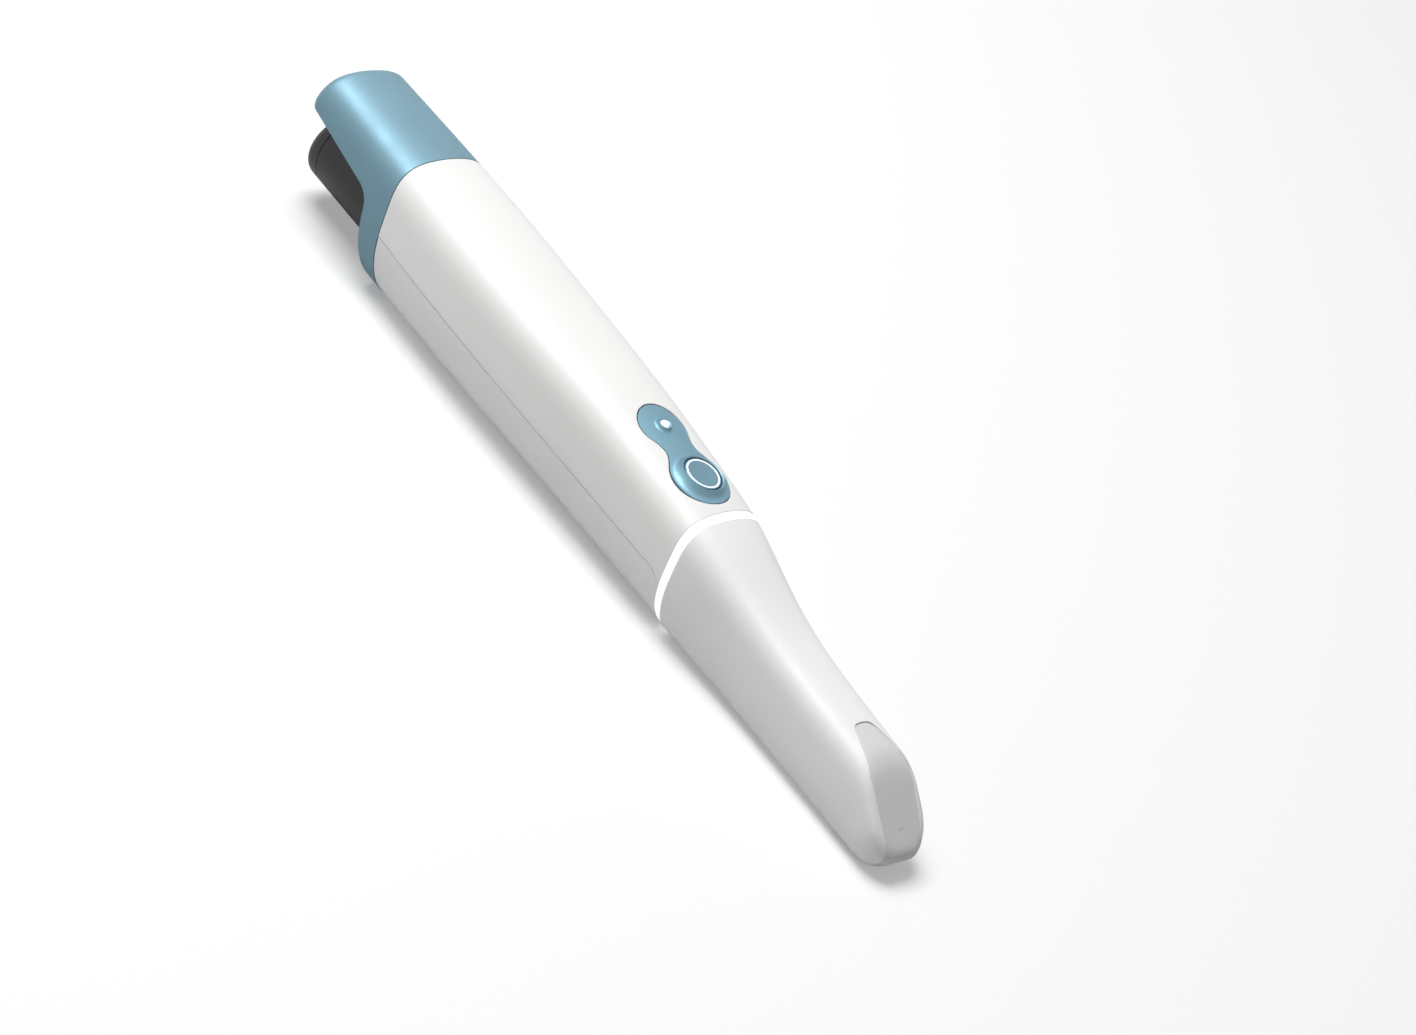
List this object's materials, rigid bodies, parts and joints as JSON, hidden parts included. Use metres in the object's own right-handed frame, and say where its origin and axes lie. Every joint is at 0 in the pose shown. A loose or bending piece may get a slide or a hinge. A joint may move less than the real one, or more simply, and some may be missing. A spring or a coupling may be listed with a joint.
{
  "type": "intraoral scanner",
  "caption": "Wireless dental scanning wand with a slide-off mirror tip, a battery that slides out under a hood, and a push button beside a status light.",
  "frame": {"origin": "bottom centre of the bounding box, on the surface that the scanner lies on", "axes": "+X runs to the scanning tip, +Z to the side with the button, +Y to the scanner's left"},
  "size_m": [0.274, 0.0376, 0.0421],
  "materials": {
    "white_housing": "satin",
    "white_tip": "satin, withstands steam",
    "grey_cap": "satin",
    "blue_housing": "satin metallic paint",
    "blue_plate": "satin metallic paint",
    "blue_button": "satin metallic paint",
    "black_battery": "fine grain",
    "light_ring": "translucent, lit from inside",
    "status_lens": "clear",
    "mirror": "first-surface mirror",
    "optical_glass": "coated",
    "black_plastic": "moulded",
    "black_metal": "black anodised",
    "frame_metal": "machined",
    "steel": "ground",
    "magnet": "nickel plated",
    "copper": "wound copper wire",
    "gold": "gold plated",
    "circuit_board": "solder mask",
    "chip": "moulded",
    "led": "clear encapsulation",
    "seal_rubber": "soft",
    "cell_sleeve": "shrink sleeve"
  },
  "bodies": {
    "body": {"upper_shell": "white_housing", "lower_shell": "white_housing", "rear_housing": "blue_housing", "control_plate": "blue_plate", "light_ring": "light_ring", "status_lens": "status_lens", "nose_window": "optical_glass", "relay_lens_rear": "optical_glass", "relay_lens_front": "optical_glass", "condenser_lens": "optical_glass", "beam_splitter": "optical_glass", "hood_liner": "black_plastic", "battery_bay": "black_plastic", "splitter_holder": "black_plastic", "light_module": "black_plastic", "nose_tube": "black_metal", "lens_spacer": "black_metal", "optics_frame": "frame_metal", "heat_sink": "frame_metal", "guide_rod_left": "steel", "guide_rod_right": "steel", "frame_screws": "steel", "board_screws": "steel", "vibration_motor": "steel", "processor_shield": "steel", "magnet_ring": "magnet", "contact_pins": "gold", "antenna_board": "circuit_board", "bay_board": "circuit_board", "sensor_board": "circuit_board", "main_board": "circuit_board", "control_board": "circuit_board", "image_sensor": "chip", "button_switch": "chip", "status_led": "led", "window_seal": "seal_rubber", "bay_seal": "seal_rubber", "plate_gasket": "seal_rubber"},
    "button": {"control_button": "blue_button", "button_glow": "light_ring"},
    "focus": {"focus_carriage": "black_plastic", "focus_coil": "copper", "focus_lens": "optical_glass"},
    "tip": {"scan_tip": "white_tip", "tip_end_cap": "grey_cap", "tip_mirror": "mirror"},
    "battery": {"battery_case": "black_battery", "battery_cap": "black_battery", "battery_cell": "cell_sleeve", "cell_pad": "seal_rubber", "battery_contacts": "gold"}
  },
  "joints": [
    {"name": "button_press", "type": "slide", "parent": "body", "child": "button", "axis": [-0.0815, 0, -0.9967], "range_m": [0, 0.0006], "stiffness_N_per_m": 2500, "springref_m": -0.0002},
    {"name": "focus_slide", "type": "slide", "parent": "body", "child": "focus", "axis": [1, 0, 0], "range_m": [-0.0025, 0.0025]},
    {"name": "tip_slide", "type": "slide", "parent": "body", "child": "tip", "axis": [1, 0, 0], "range_m": [0, 0.052]},
    {"name": "battery_slide", "type": "slide", "parent": "body", "child": "battery", "axis": [-1, 0, 0], "range_m": [0, 0.045]}
  ]
}
